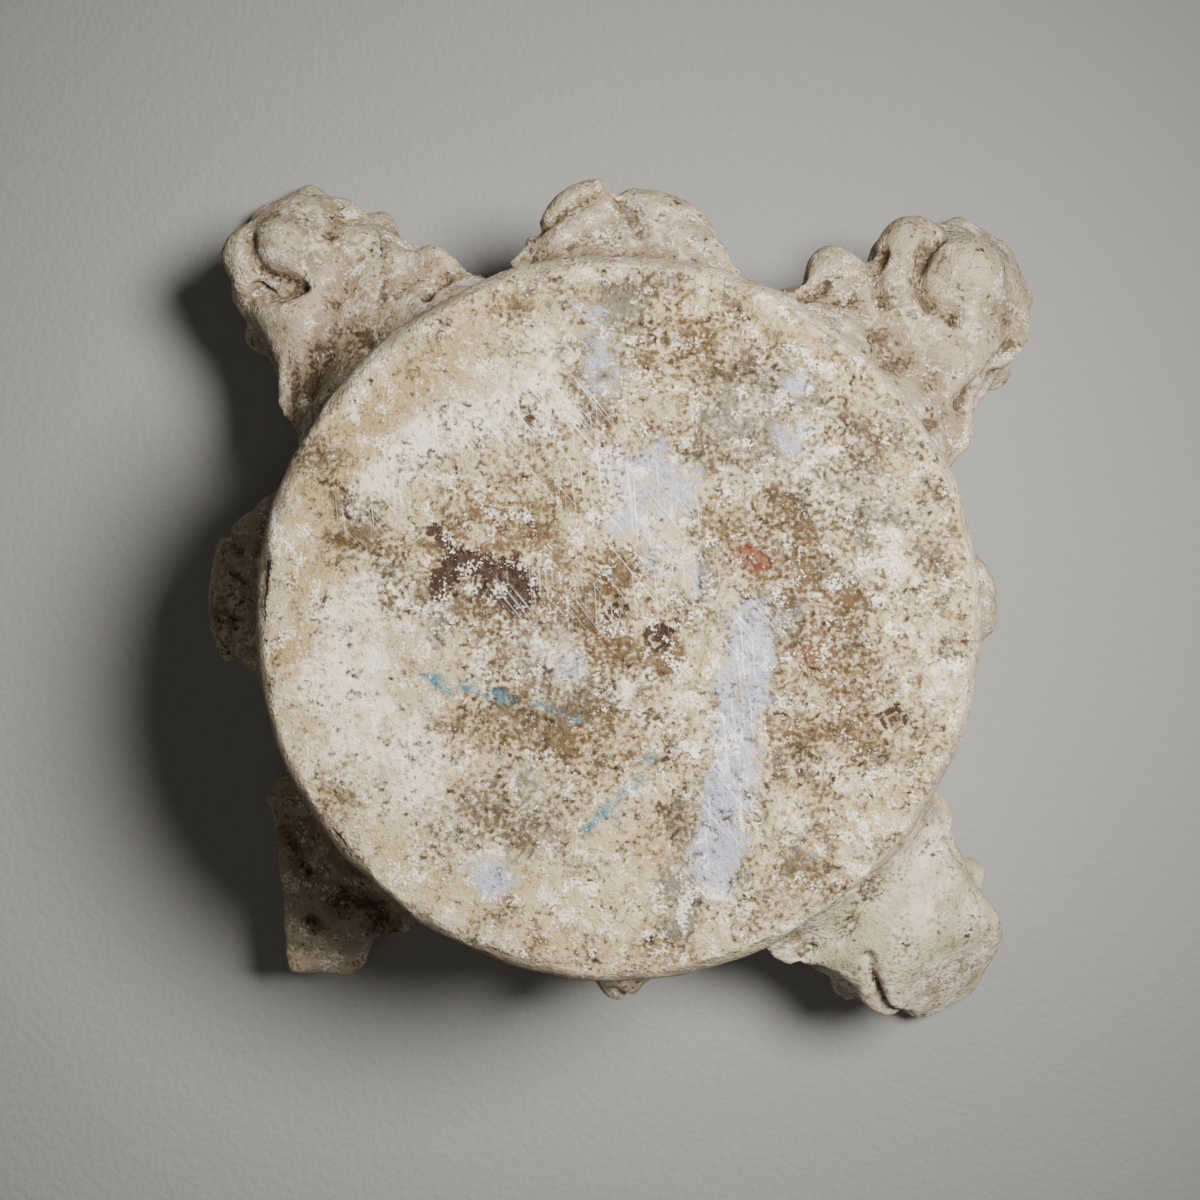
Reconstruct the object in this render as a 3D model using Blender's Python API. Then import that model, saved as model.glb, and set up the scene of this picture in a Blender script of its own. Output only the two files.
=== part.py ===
"""A small worn Corinthian capital of white marble, carved from one block.

It lies upside down: the abacus face is flat on z = 0 and the round bed, which
sat on the column shaft, is the flat face on top. The origin is on the column's
axis, in the abacus face. X and Y run along the sides of the abacus, so the four
corner leaves point along the diagonals.
"""
import math

import bmesh
import bpy
from mathutils import Matrix, Vector

# Driving dimensions, in metres
HEIGHT = 0.170                # abacus face to bed
BED_DIAMETER = 0.185          # over the rounded astragal
ASTRAGAL_HEIGHT = 0.021       # rounded moulding round the bed
ASTRAGAL_STEP = 0.013         # how far it stands out from the neck
RIM_WEAR = 0.0045             # width of the worn shoulder round the flat bed
ABACUS_REACH = 0.173          # axis to an abacus corner
ABACUS_THICKNESS = 0.027
ABACUS_MIDDLE = 0.097         # axis to the middle of a hollow side
CORNER_HALF_WIDTH = 0.019     # of the blunt abacus corner
MOULDING_STEP = 0.005         # how far the abacus steps in above its lower band
BELL_LIP_RADIUS = 0.088       # bell where it meets the abacus
LEAF_THICKNESS = 0.013
CORNER_LEAF_REACH = 0.158     # axis to a corner leaf's tip
CORNER_LEAF_WIDTH = 0.078
MIDDLE_LEAF_WIDTH = 0.072
MIDDLE_LEAF_STAND = 0.042     # neck to the longest middle leaf's tip
VOLUTE_RADIUS = 0.020
STEM_RADIUS = 0.0060
FLEURON_RADIUS = 0.013
LOST_LEAF_DEPTH = 0.110       # stone gone from the lower left arm, outward from the neck

# How finely the stone is gathered into one skin
GRAIN = 0.0024
TRIANGLES = 8600

NECK_RADIUS = BED_DIAMETER / 2 - ASTRAGAL_STEP
NECK_TOP = HEIGHT - ASTRAGAL_HEIGHT
SPARE = 0.004                 # stone left beyond both flat faces until they are cut


def smooth_path(points, count):
    """Read count + 1 evenly numbered points from a curve through the given ones."""
    ends = [2 * points[0] - points[1]] + list(points) + [2 * points[-1] - points[-2]]
    path = []
    for step in range(count + 1):
        place = step / count * (len(points) - 1)
        first = min(int(place), len(points) - 2)
        t = place - first
        a, b, c, d = ends[first:first + 4]
        path.append(0.5 * (2 * b + (c - a) * t + (2 * a - 5 * b + 4 * c - d) * t ** 2
                           + (3 * b - a - 3 * c + d) * t ** 3))
    return path


def loft(bm, rings):
    """Join rings of equal length into one closed skin with flat ends."""
    loops = [[bm.verts.new(point) for point in ring] for ring in rings]
    size = len(loops[0])
    faces = [bm.faces.new(loops[0][::-1]), bm.faces.new(loops[-1])]
    for lower, upper in zip(loops, loops[1:]):
        for i in range(size):
            k = (i + 1) % size
            faces.append(bm.faces.new((lower[i], lower[k], upper[k], upper[i])))
    bmesh.ops.recalc_face_normals(bm, faces=faces)
    return [vert for loop in loops for vert in loop]


def tube(bm, points, radii, sides=8, count=14):
    """Run a round stem along a curve, with its radius read along the way."""
    path = smooth_path([Vector(point) for point in points], count)
    sizes = smooth_path([Vector((radius, 0, 0)) for radius in radii], count)
    rings = []
    for i, centre in enumerate(path):
        along = (path[min(i + 1, count)] - path[max(i - 1, 0)]).normalized()
        side = along.cross(Vector((0, 0, 1))).normalized()
        up = side.cross(along)
        turn = [2 * math.pi * k / sides for k in range(sides)]
        rings.append([centre + sizes[i].x * (math.cos(a) * side + math.sin(a) * up)
                      for a in turn])
    return loft(bm, rings)


def lump(bm, centre, radii, turn=0.0):
    """A rounded lump of stone, turned about the vertical."""
    place = (Matrix.Translation(centre) @ Matrix.Rotation(turn, 4, "Z")
             @ Matrix.Diagonal((*radii, 1)))
    return bmesh.ops.create_uvsphere(bm, u_segments=20, v_segments=12, radius=1,
                                     matrix=place)["verts"]


def leaf(bm, spine, widths, thickness, lobes, groove, columns=24, rows=40):
    """A worn acanthus leaf along +X, lofted from its foot to its rolled tip.

    spine lists (reach, height) points, widths the half widths along it.
    """
    path = smooth_path([Vector((x, 0, z)) for x, z in spine], rows)
    halves = smooth_path([Vector((width, 0, 0)) for width in widths], rows)
    rings = []
    for i, centre in enumerate(path):
        t = i / rows
        along = (path[min(i + 1, rows)] - path[max(i - 1, 0)]).normalized()
        front = Vector((-along.z, 0, along.x))
        notch = (0.5 + 0.5 * math.cos(2 * math.pi * (t * lobes - 0.9))) ** 3
        half = halves[i].x * (1 - 0.24 * notch * math.sin(math.pi * t) ** 0.5)
        face = []
        back = []
        for j in range(-columns // 2, columns // 2 + 1):
            s = 2 * j / columns
            vein = (0.5 + 0.5 * math.cos(2 * math.pi * (t * lobes - 0.9 + 0.55 * abs(s)))) ** 2
            depth = groove * (vein * min(1, 2.2 * abs(s)) + math.exp(-(s / 0.16) ** 2))
            crown = 0.16 * half * (1 - s * s) - depth * math.sin(math.pi * min(1, t * 1.5))
            edge = centre + Vector((0, half * s, 0))
            face.append(edge + front * crown)
            back.append(edge - front * thickness * (1 - 0.75 * s ** 4))
        rings.append(face + back[::-1])
    return loft(bm, rings)


def turned(bm, verts, degrees):
    bmesh.ops.rotate(bm, verts=verts, cent=(0, 0, 0),
                     matrix=Matrix.Rotation(math.radians(degrees), 3, "Z"))


def add_bell(bm):
    """Astragal, neck and flaring bell, spun about the column's axis."""
    radius = BED_DIAMETER / 2
    flat = radius - RIM_WEAR
    profile = [(0.0, HEIGHT + SPARE), (flat - RIM_WEAR, HEIGHT + SPARE), (flat, HEIGHT),
               (radius - 0.0012, HEIGHT - 0.22 * ASTRAGAL_HEIGHT),
               (radius, HEIGHT - 0.5 * ASTRAGAL_HEIGHT),
               (radius - 0.003, HEIGHT - 0.8 * ASTRAGAL_HEIGHT),
               (NECK_RADIUS + 0.002, NECK_TOP), (NECK_RADIUS, NECK_TOP - 0.006),
               (NECK_RADIUS - 0.003, 0.55 * HEIGHT), (NECK_RADIUS + 0.002, 0.35 * HEIGHT),
               (BELL_LIP_RADIUS - 0.002, ABACUS_THICKNESS + 0.010),
               (BELL_LIP_RADIUS, ABACUS_THICKNESS), (BELL_LIP_RADIUS - 0.010, 0.004),
               (0.0, 0.004)]
    verts = [bm.verts.new((x, 0, z)) for x, z in profile]
    edges = [bm.edges.new(pair) for pair in zip(verts, verts[1:])]
    bmesh.ops.spin(bm, geom=verts + edges, cent=(0, 0, 0), axis=(0, 0, 1),
                   angle=2 * math.pi, steps=72, use_merge=True)
    bmesh.ops.remove_doubles(bm, verts=bm.verts, dist=0.00001)
    bmesh.ops.recalc_face_normals(bm, faces=bm.faces)


def abacus_ring(inset, z):
    """Star-shaped plan with four hollow sides and blunt worn corners."""
    reach = ABACUS_REACH - inset
    half = CORNER_HALF_WIDTH - 0.3 * inset
    end_x = (reach - 0.006 - half) / math.sqrt(2)
    end_y = (reach - 0.006 + half) / math.sqrt(2)
    middle = ABACUS_MIDDLE - inset
    points = []
    for quarter in range(4):
        turn = Matrix.Rotation(-quarter * math.pi / 2, 3, "Z")
        for k in range(-10, 11):
            x = end_x * k / 10
            y = middle + (end_y - middle) * (k / 10) ** 2
            points.append(turn @ Vector((x, y, z)))
        nose = reach / math.sqrt(2)
        points.append(turn @ Vector((nose, nose, z)))
    return points


def add_abacus(bm):
    band = 0.52 * ABACUS_THICKNESS
    loft(bm, [abacus_ring(0.0015, -SPARE), abacus_ring(0.0, 0.2 * band), abacus_ring(0.0, band),
              abacus_ring(MOULDING_STEP, band + 0.004),
              abacus_ring(1.4 * MOULDING_STEP, ABACUS_THICKNESS)])


def add_corner(bm, degrees, tip):
    """One diagonal arm: its mass, the two volutes and the corner leaf."""
    reach = CORNER_LEAF_REACH
    half = CORNER_LEAF_WIDTH / 2
    rings = []
    for share, top, width in ((0.40, 0.66, 1.0), (0.55, 0.50, 0.86), (0.68, 0.42, 0.70),
                              (0.80, 0.38, 0.58), (0.92, 0.35, 0.44), (0.97, 0.30, 0.30)):
        low = 0.5 * ABACUS_THICKNESS
        middle = (top * HEIGHT + low) / 2
        tall = (top * HEIGHT - low) / 2
        angles = [2 * math.pi * k / 20 for k in range(20)]
        rings.append([Vector((share * reach,
                              math.copysign(abs(math.cos(a)) ** 0.6, math.cos(a)) * width * half,
                              middle + math.copysign(abs(math.sin(a)) ** 0.6, math.sin(a)) * tall))
                      for a in angles])
    verts = loft(bm, rings)
    for side in (-1, 1):
        scroll = lump(bm, (0.845 * reach, side * 0.35 * half, 0.27 * HEIGHT),
                      (VOLUTE_RADIUS, 0.32 * half, VOLUTE_RADIUS), -side * 0.34)
        eye = lump(bm, (0.85 * reach, side * 0.66 * half, 0.27 * HEIGHT),
                   (0.006, 0.005, 0.006))
        stem = tube(bm, [(0.42 * reach, side * 0.76 * half, 0.60 * HEIGHT),
                         (0.55 * reach, side * 0.82 * half, 0.44 * HEIGHT),
                         (0.70 * reach, side * 0.70 * half, 0.365 * HEIGHT),
                         (0.83 * reach, side * 0.58 * half, 0.365 * HEIGHT)],
                    [STEM_RADIUS, STEM_RADIUS, 0.8 * STEM_RADIUS, 0.6 * STEM_RADIUS])
        verts += scroll + eye + stem
    if tip != "lost":
        spine = [(NECK_RADIUS - 0.004, 0.86 * HEIGHT), (0.49 * reach, 0.72 * HEIGHT),
                 (0.56 * reach, 0.585 * HEIGHT), (0.68 * reach, 0.49 * HEIGHT),
                 (0.81 * reach, 0.435 * HEIGHT), (0.92 * reach, 0.405 * HEIGHT),
                 (0.975 * reach, 0.40 * HEIGHT)]
        widths = [0.62 * half, 0.86 * half, 1.0 * half, 0.92 * half, 0.70 * half,
                  0.60 * half, 0.40 * half]
        verts += leaf(bm, spine, widths, LEAF_THICKNESS, 3, 0.0048)
        verts += lump(bm, (0.755 * reach, 0, 0.44 * HEIGHT), (0.62 * half, 0.66 * half, 0.012))
    lumps = {
        "ball": [(0.895, 0.0, 0.400, 0.017, 0.019, 0.013), (0.905, 0.0, 0.465, 0.010, 0.0085, 0.012),
                 (0.930, 0.055, 0.430, 0.012, 0.011, 0.012)],
        "boss": [(0.895, 0.0, 0.395, 0.015, 0.017, 0.012), (0.890, 0.030, 0.440, 0.0125, 0.014, 0.014),
                 (0.850, 0.130, 0.415, 0.012, 0.010, 0.011), (0.715, 0.190, 0.430, 0.010, 0.009, 0.010)],
        "broken": [(0.840, 0.0, 0.405, 0.028, 0.025, 0.014)],
        "lost": []}
    for out, aside, high, *radii in lumps[tip]:
        verts += lump(bm, (out * reach, aside * reach, high * HEIGHT), radii, 0.3)
    turned(bm, verts, degrees)


def add_middle(bm, degrees, reach, tip_width, aside, fold):
    """A middle leaf on one side, with the scrolls and the flower below it."""
    half = MIDDLE_LEAF_WIDTH / 2
    spine = [(NECK_RADIUS - 0.004, 0.87 * HEIGHT), (NECK_RADIUS + 0.006, 0.74 * HEIGHT),
             (NECK_RADIUS + 0.014, 0.62 * HEIGHT), (0.86 * reach, 0.545 * HEIGHT),
             (0.94 * reach, 0.515 * HEIGHT), (reach - 0.003, 0.52 * HEIGHT)]
    widths = [0.72 * half, 0.92 * half, 1.0 * half, 0.88 * half, tip_width, 0.5 * tip_width]
    verts = leaf(bm, spine, widths, LEAF_THICKNESS, 3, 0.0044)
    verts += lump(bm, (0.925 * reach, 0, 0.515 * HEIGHT), (0.075 * reach, tip_width, 0.0105))
    verts += lump(bm, (0.850 * reach, 0, 0.535 * HEIGHT), (0.080 * reach, 0.84 * half, 0.0110))
    if fold:
        verts += tube(bm, [(0.86 * reach, 0.62 * half, 0.555 * HEIGHT),
                           (0.94 * reach, 0.40 * half, 0.565 * HEIGHT),
                           (0.985 * reach, 0.10 * half, 0.55 * HEIGHT)],
                      [0.006, 0.007, 0.005])
    bmesh.ops.translate(bm, verts=verts, vec=(0, aside, 0))
    for side in (-1, 1):
        verts += tube(bm, [(NECK_RADIUS - 2 * STEM_RADIUS, side * 0.040, 0.60 * HEIGHT),
                           (NECK_RADIUS + 0.012, side * 0.033, 0.43 * HEIGHT),
                           (BELL_LIP_RADIUS + 0.008, side * 0.022, 0.30 * HEIGHT),
                           (BELL_LIP_RADIUS + 0.010, side * 0.011, 0.25 * HEIGHT)],
                      [STEM_RADIUS, STEM_RADIUS, 0.9 * STEM_RADIUS, 0.7 * STEM_RADIUS])
        verts += lump(bm, (BELL_LIP_RADIUS + 0.008, side * 0.010, 0.235 * HEIGHT),
                      (0.009, 0.010, 0.010))
    verts += lump(bm, (ABACUS_MIDDLE, 0, 0.55 * ABACUS_THICKNESS),
                  (FLEURON_RADIUS * 0.7, FLEURON_RADIUS, 0.45 * ABACUS_THICKNESS))
    turned(bm, verts, degrees)


def stone_material():
    marble = bpy.data.materials.new("weathered_marble")
    marble.use_nodes = True
    shader = marble.node_tree.nodes["Principled BSDF"]
    shader.inputs["Base Color"].default_value = (0.56, 0.50, 0.41, 1)
    shader.inputs["Roughness"].default_value = 0.78
    shader.inputs["Metallic"].default_value = 0.0
    return marble


def new_object(name, bm):
    mesh = bpy.data.meshes.new(name)
    bm.to_mesh(mesh)
    bm.free()
    item = bpy.data.objects.new(name, mesh)
    bpy.context.collection.objects.link(item)
    return item


def break_cutters():
    """Blocks and lumps that take away what the stone has lost."""
    bm = bmesh.new()

    def slab(centre, size, turns):
        place = Matrix.Translation(centre)
        for axis, degrees in turns:
            place = place @ Matrix.Rotation(math.radians(degrees), 4, axis)
        bmesh.ops.create_cube(bm, size=1, matrix=place @ Matrix.Diagonal((*size, 1)))

    def on_plan(reach, degrees, z):
        turn = math.radians(degrees)
        return (reach * math.cos(turn), reach * math.sin(turn), z)

    big = 0.09
    # The tip of the lower right leaf is knocked off on a slope
    slab(on_plan(CORNER_LEAF_REACH + 0.020, -48, 0.53 * HEIGHT), (0.07, big, big),
         [("Z", -48), ("Y", -44)])
    # The lower left arm has lost its corner down to the floor, and its leaf
    slab(on_plan(ABACUS_REACH - 0.006, -146.3, HEIGHT / 2), (0.08, 0.10, 2 * HEIGHT),
         [("Z", -171.2)])
    beyond_neck = NECK_RADIUS + LEAF_THICKNESS + 0.001
    slab(on_plan(beyond_neck + LOST_LEAF_DEPTH / 2, -137, 0.58 * HEIGHT),
         (LOST_LEAF_DEPTH, 0.12, big), [("Z", -137), ("Y", 12)])
    # The rim is bitten away in four places
    rim = BED_DIAMETER / 2
    for reach, degrees, radii, turn in ((rim + 0.010, 50, (0.011, 0.034, 0.012), 50),
                                        (rim + 0.011, -50, (0.014, 0.040, 0.013), -50),
                                        (rim + 0.008, 152, (0.009, 0.016, 0.010), 152),
                                        (rim + 0.009, -128, (0.011, 0.030, 0.011), -128)):
        lump(bm, on_plan(reach, degrees, HEIGHT - 0.30 * ASTRAGAL_HEIGHT), radii,
             math.radians(turn))
    return new_object("lost_stone", bm)


def gathered(bm, name):
    """Gather overlapping shapes into one skin and drop the pockets sealed inside it."""
    rough = new_object(name, bm)
    modifier(rough, "REMESH", mode="VOXEL", voxel_size=GRAIN)
    skin = bmesh.new()
    skin.from_object(rough, bpy.context.evaluated_depsgraph_get())
    left = set(skin.verts)
    bodies = []
    while left:
        body = []
        front = [left.pop()]
        while front:
            vert = front.pop()
            body.append(vert)
            near = [edge.other_vert(vert) for edge in vert.link_edges]
            fresh = [other for other in near if other in left]
            left.difference_update(fresh)
            front.extend(fresh)
        bodies.append(body)
    bodies.sort(key=len)
    for body in bodies[:-1]:
        bmesh.ops.delete(skin, geom=body, context="VERTS")
    bpy.data.objects.remove(rough, do_unlink=True)
    return new_object(name, skin)


def modifier(item, kind, **settings):
    made = item.modifiers.new(kind.title(), kind)
    for name, value in settings.items():
        setattr(made, name, value)
    return made


def guide(item):
    item.hide_render = True
    item.display_type = "WIRE"
    return item


def main():
    for item in list(bpy.data.objects):
        bpy.data.objects.remove(item, do_unlink=True)

    bm = bmesh.new()
    add_bell(bm)
    add_abacus(bm)
    for degrees, tip in ((135, "ball"), (45, "boss"), (-45, "broken"), (-135, "lost")):
        add_corner(bm, degrees, tip)
    longest = NECK_RADIUS + MIDDLE_LEAF_STAND
    for degrees, lost, tip_width, aside, fold in ((90, 0.0, 0.024, 0.002, True),
                                                  (180, 0.003, 0.021, 0.001, False),
                                                  (0, 0.0115, 0.014, 0.007, False),
                                                  (-90, 0.008, 0.008, 0.006, False)):
        add_middle(bm, degrees, longest - lost, tip_width, aside, fold)
    capital = gathered(bm, "capital")
    capital.data.materials.append(stone_material())

    lost = guide(break_cutters())
    bm = bmesh.new()
    bmesh.ops.create_cube(bm, size=1, matrix=Matrix.Translation((0, 0, HEIGHT / 2))
                          @ Matrix.Diagonal((4 * ABACUS_REACH, 4 * ABACUS_REACH, HEIGHT, 1)))
    block = guide(new_object("space_between_flat_faces", bm))

    modifier(capital, "SMOOTH", factor=0.5, iterations=4)
    count = sum(len(face.vertices) - 2 for face in capital.data.polygons)
    modifier(capital, "DECIMATE", ratio=TRIANGLES / count)
    modifier(capital, "BOOLEAN", operation="DIFFERENCE", object=lost, use_self=True)
    modifier(capital, "BOOLEAN", operation="INTERSECT", object=block)


main()
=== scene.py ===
"""Looks of a small worn Corinthian capital of white marble, lying upside down on its abacus.

The stone is modelled again at a finer grain than the solid: bell, abacus, leaves, stems and
scrolls are gathered into one skin, drilled, broken and worn, and then stained and scratched
as the real stone is. Lengths are millimetres in the capital's own frame until the mesh is
finished: z = 0 is the abacus face on the floor, and the bed is on top.
"""
import math

import bmesh
import bpy
import numpy as np
from mathutils import Matrix, Vector, noise


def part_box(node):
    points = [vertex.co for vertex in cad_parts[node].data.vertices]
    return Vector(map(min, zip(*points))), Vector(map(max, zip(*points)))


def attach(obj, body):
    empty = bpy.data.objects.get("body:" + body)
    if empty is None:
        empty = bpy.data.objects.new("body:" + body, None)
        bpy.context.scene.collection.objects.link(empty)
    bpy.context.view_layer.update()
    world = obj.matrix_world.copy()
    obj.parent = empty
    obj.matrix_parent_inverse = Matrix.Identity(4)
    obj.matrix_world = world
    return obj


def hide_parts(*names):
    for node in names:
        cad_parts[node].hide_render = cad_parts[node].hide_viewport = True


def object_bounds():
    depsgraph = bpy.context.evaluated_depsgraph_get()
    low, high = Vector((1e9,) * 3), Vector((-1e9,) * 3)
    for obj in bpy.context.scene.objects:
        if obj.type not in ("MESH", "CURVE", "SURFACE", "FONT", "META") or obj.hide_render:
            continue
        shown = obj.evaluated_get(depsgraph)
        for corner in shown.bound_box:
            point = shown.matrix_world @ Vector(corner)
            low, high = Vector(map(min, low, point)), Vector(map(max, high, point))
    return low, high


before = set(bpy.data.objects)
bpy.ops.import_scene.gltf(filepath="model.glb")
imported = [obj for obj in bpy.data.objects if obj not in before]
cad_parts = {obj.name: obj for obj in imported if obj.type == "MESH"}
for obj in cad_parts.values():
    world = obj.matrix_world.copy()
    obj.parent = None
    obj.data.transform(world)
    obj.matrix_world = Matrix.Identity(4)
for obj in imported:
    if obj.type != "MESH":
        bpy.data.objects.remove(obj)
CAD_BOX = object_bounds()
MM = 0.001
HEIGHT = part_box("capital")[1][2] / MM

# Bell, bed and astragal
BED_RADIUS = 92.5
ASTRAGAL_HEIGHT = 21.0
ASTRAGAL_STEP = 13.0
NECK_RADIUS = BED_RADIUS - ASTRAGAL_STEP
NECK_TOP = HEIGHT - ASTRAGAL_HEIGHT
RIM_WEAR = 4.5
BELL_LIP_RADIUS = 88.0

# Abacus
ABACUS_REACH = 173.0
ABACUS_THICKNESS = 27.0
ABACUS_MIDDLE = 97.0
CORNER_HALF_WIDTH = 19.0
MOULDING_STEP = 5.0

# Leaves and scrolls
CORNER_LEAF_REACH = 158.0
CORNER_LEAF_HALF = 39.0
MIDDLE_LEAF_HALF = 36.0
MIDDLE_LEAF_STAND = 42.0
LEAF_THICKNESS = 13.0
VOLUTE_RADIUS = 20.0
STEM_RADIUS = 6.0
FLEURON_RADIUS = 13.0

# How finely the stone is gathered, and the most triangles it may keep
GRAIN = 1.5
TRIANGLES = 192000


def smooth_path(points, count):
    """Read count + 1 points from a smooth curve through the given ones."""
    points = [Vector(point) for point in points]
    ends = [2 * points[0] - points[1]] + points + [2 * points[-1] - points[-2]]
    path = []
    for step in range(count + 1):
        place = step / count * (len(points) - 1)
        first = min(int(place), len(points) - 2)
        t = place - first
        a, b, c, d = ends[first:first + 4]
        path.append(0.5 * (2 * b + (c - a) * t + (2 * a - 5 * b + 4 * c - d) * t ** 2
                           + (3 * b - a - 3 * c + d) * t ** 3))
    return path


def loft(bm, rings):
    """Extrude the first ring's face through the other rings, closed at both ends."""
    face = bm.faces.new([bm.verts.new(point) for point in rings[0]])
    start = face
    foot = list(face.verts)
    for ring in rings[1:]:
        geom = bmesh.ops.extrude_discrete_faces(bm, faces=[face])["faces"]
        face = geom[0]
        for loop, point in zip(face.loops, ring):
            loop.vert.co = point
    if start.is_valid:
        start.normal_flip()
    else:
        bm.faces.new(foot[::-1])


def stem(bm, points, radii, sides=12, count=20):
    """Run a round stem along a curve, with its radius read along the way."""
    path = smooth_path(points, count)
    sizes = smooth_path([(radius, 0, 0) for radius in radii], count)
    rings = []
    for i, centre in enumerate(path):
        along = (path[min(i + 1, count)] - path[max(i - 1, 0)]).normalized()
        side = along.cross(Vector((0, 0, 1))).normalized()
        up = side.cross(along)
        turns = [2 * math.pi * k / sides for k in range(sides)]
        rings.append([centre + sizes[i].x * (math.cos(a) * side + math.sin(a) * up) for a in turns])
    loft(bm, rings)


def lump(bm, centre, radii, turn=0.0):
    """A rounded lump of stone, turned about the vertical."""
    place = (Matrix.Translation(centre) @ Matrix.Rotation(turn, 4, "Z")
             @ Matrix.Diagonal((*radii, 1)))
    bmesh.ops.create_icosphere(bm, subdivisions=4, radius=1, matrix=place)


def joined(bm, part, degrees):
    """Turn a part about the column's axis and put it with the rest."""
    bmesh.ops.rotate(part, verts=part.verts, cent=(0, 0, 0),
                     matrix=Matrix.Rotation(math.radians(degrees), 3, "Z"))
    mesh = bpy.data.meshes.new("part")
    part.to_mesh(mesh)
    part.free()
    bm.from_mesh(mesh)
    bpy.data.meshes.remove(mesh)


def leaf(bm, spine, widths, thickness, lobes, groove, columns=40, rows=72):
    """A worn acanthus leaf along +X, drawn out from its foot to its rolled tip.

    spine lists (reach, height) points, widths the half widths along it.
    """
    path = smooth_path([(x, 0, z) for x, z in spine], rows)
    halves = smooth_path([(width, 0, 0) for width in widths], rows)
    rings = []
    for i, centre in enumerate(path):
        t = i / rows
        along = (path[min(i + 1, rows)] - path[max(i - 1, 0)]).normalized()
        front = Vector((-along.z, 0, along.x))
        notch = (0.5 + 0.5 * math.cos(2 * math.pi * (t * lobes - 0.9))) ** 3
        half = halves[i].x * (1 - 0.24 * notch * math.sin(math.pi * t) ** 0.5)
        face = []
        back = []
        for j in range(-columns // 2, columns // 2 + 1):
            s = 2 * j / columns
            phase = 2 * math.pi * (t * lobes - 0.9 + 0.55 * abs(s))
            vein = (0.5 + 0.5 * math.cos(phase)) ** 2 + 0.25 * (0.5 + 0.5 * math.cos(3 * phase)) ** 2
            depth = groove * (vein * min(1, 2.2 * abs(s)) + math.exp(-(s / 0.14) ** 2))
            crown = 0.16 * half * (1 - s * s) - depth * math.sin(math.pi * min(1, t * 1.5))
            edge = centre + Vector((0, half * s, 0))
            face.append(edge + front * crown)
            back.append(edge - front * thickness * (1 - 0.75 * s ** 4))
        rings.append(face + back[::-1])
    loft(bm, rings)


def add_bell(bm):
    """Astragal, neck and flaring bell, spun about the column's axis."""
    flat = BED_RADIUS - RIM_WEAR
    profile = [(0.0, HEIGHT), (flat - 8, HEIGHT), (flat, HEIGHT - 0.1),
               (BED_RADIUS - 1.2, HEIGHT - 0.22 * ASTRAGAL_HEIGHT),
               (BED_RADIUS, HEIGHT - 0.5 * ASTRAGAL_HEIGHT),
               (BED_RADIUS - 3, HEIGHT - 0.8 * ASTRAGAL_HEIGHT),
               (NECK_RADIUS + 2, NECK_TOP), (NECK_RADIUS, NECK_TOP - 6),
               (NECK_RADIUS - 3, 0.55 * HEIGHT), (NECK_RADIUS + 2, 0.35 * HEIGHT),
               (BELL_LIP_RADIUS - 2, ABACUS_THICKNESS + 10),
               (BELL_LIP_RADIUS, ABACUS_THICKNESS), (BELL_LIP_RADIUS - 10, 4), (0.0, 4)]
    curved = smooth_path([(x, 0, z) for x, z in profile[2:11]], 64)
    outline = [Vector((x, 0, z)) for x, z in profile[:2]] + curved
    outline += [Vector((x, 0, z)) for x, z in profile[11:]]
    verts = [bm.verts.new(point) for point in outline]
    edges = [bm.edges.new(pair) for pair in zip(verts, verts[1:])]
    bmesh.ops.spin(bm, geom=verts + edges, cent=(0, 0, 0), axis=(0, 0, 1),
                   angle=2 * math.pi, steps=160, use_merge=True)
    bmesh.ops.remove_doubles(bm, verts=bm.verts, dist=0.01)
    bmesh.ops.recalc_face_normals(bm, faces=bm.faces)


def abacus_ring(inset, z):
    """Star-shaped plan with four hollow sides and blunt worn corners."""
    reach = ABACUS_REACH - inset
    half = CORNER_HALF_WIDTH - 0.3 * inset
    end_x = (reach - 6 - half) / math.sqrt(2)
    end_y = (reach - 6 + half) / math.sqrt(2)
    middle = ABACUS_MIDDLE - inset
    points = []
    for quarter in range(4):
        turn = Matrix.Rotation(-quarter * math.pi / 2, 3, "Z")
        for k in range(-20, 21):
            share = k / 20
            y = middle + (end_y - middle) * share ** 2
            points.append(turn @ Vector((end_x * share, y, z)))
        nose = reach / math.sqrt(2)
        points.append(turn @ Vector((nose, nose, z)))
    return points


def add_abacus(bm):
    band = 0.52 * ABACUS_THICKNESS
    loft(bm, [abacus_ring(1.5, -4), abacus_ring(0, 0.2 * band), abacus_ring(0, band),
              abacus_ring(MOULDING_STEP, band + 4), abacus_ring(1.4 * MOULDING_STEP, ABACUS_THICKNESS)])


CORNER_LUMPS = {
    "ball": [(0.895, 0.0, 0.400, 17, 19, 13), (0.905, 0.0, 0.465, 10, 8.5, 12),
             (0.930, 0.055, 0.430, 12, 11, 12)],
    "boss": [(0.895, 0.0, 0.395, 15, 17, 12), (0.890, 0.030, 0.440, 12.5, 14, 14),
             (0.850, 0.130, 0.415, 12, 10, 11), (0.715, 0.190, 0.430, 10, 9, 10)],
    "broken": [(0.840, 0.0, 0.405, 28, 25, 14)],
    "lost": []}


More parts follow.
